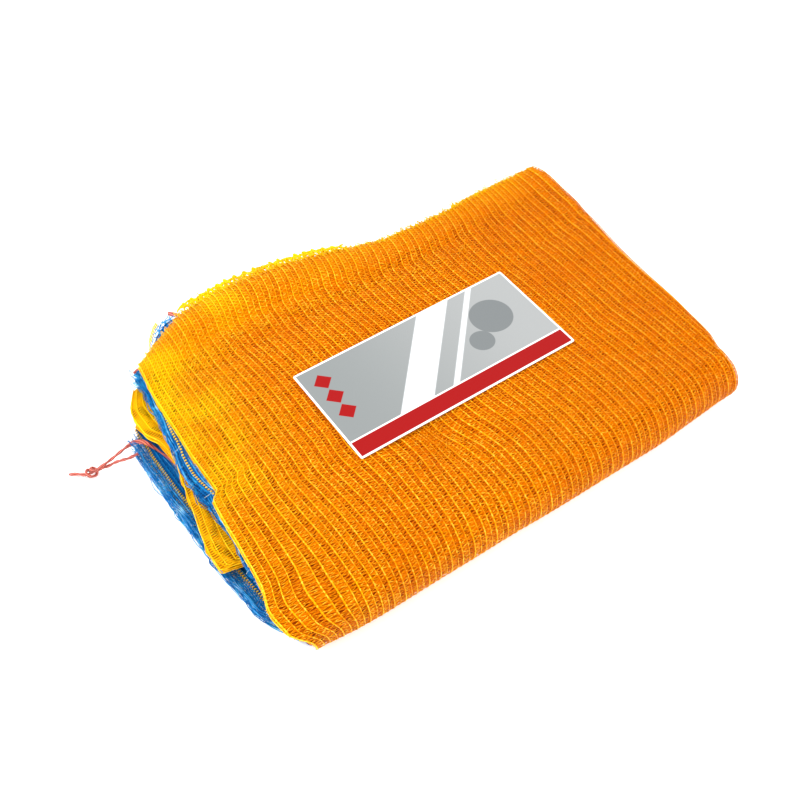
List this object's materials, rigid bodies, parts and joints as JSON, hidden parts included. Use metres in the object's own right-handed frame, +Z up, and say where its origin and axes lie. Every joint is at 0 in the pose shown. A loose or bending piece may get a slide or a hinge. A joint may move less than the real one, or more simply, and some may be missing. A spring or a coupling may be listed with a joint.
{
  "type": "folded bundle of net potato sacks",
  "caption": "Orange knitted net sacks with blue mouth hems, folded flat into one bundle, with a salmon drawstring end and a printed card on top.",
  "frame": {"origin": "under the middle of the card, on the surface that the bundle lies on", "axes": "+X to the folded right end, along the bundle's length; -Y to the front fold; +Z up"},
  "size_m": [0.5138, 0.3209, 0.0525],
  "materials": {
    "orange_net": "knitted polyethylene tape net, slightly glossy",
    "blue_net": "knitted polyethylene tape, slightly glossy",
    "salmon_string": "twisted polyethylene string",
    "printed_card": "glossy printed card"
  },
  "bodies": {
    "root": {"outer_sack_net": "orange_net", "inner_sack_net": "orange_net", "outer_sack_mouth_hem": "blue_net", "inner_sack_mouth_hem": "blue_net", "outer_sack_drawstring": "salmon_string", "inner_sack_drawstring": "salmon_string", "drawstring_long_end": "salmon_string", "drawstring_short_end": "salmon_string", "drawstring_knot": "salmon_string", "label_card": "printed_card"}
  },
  "joints": []
}
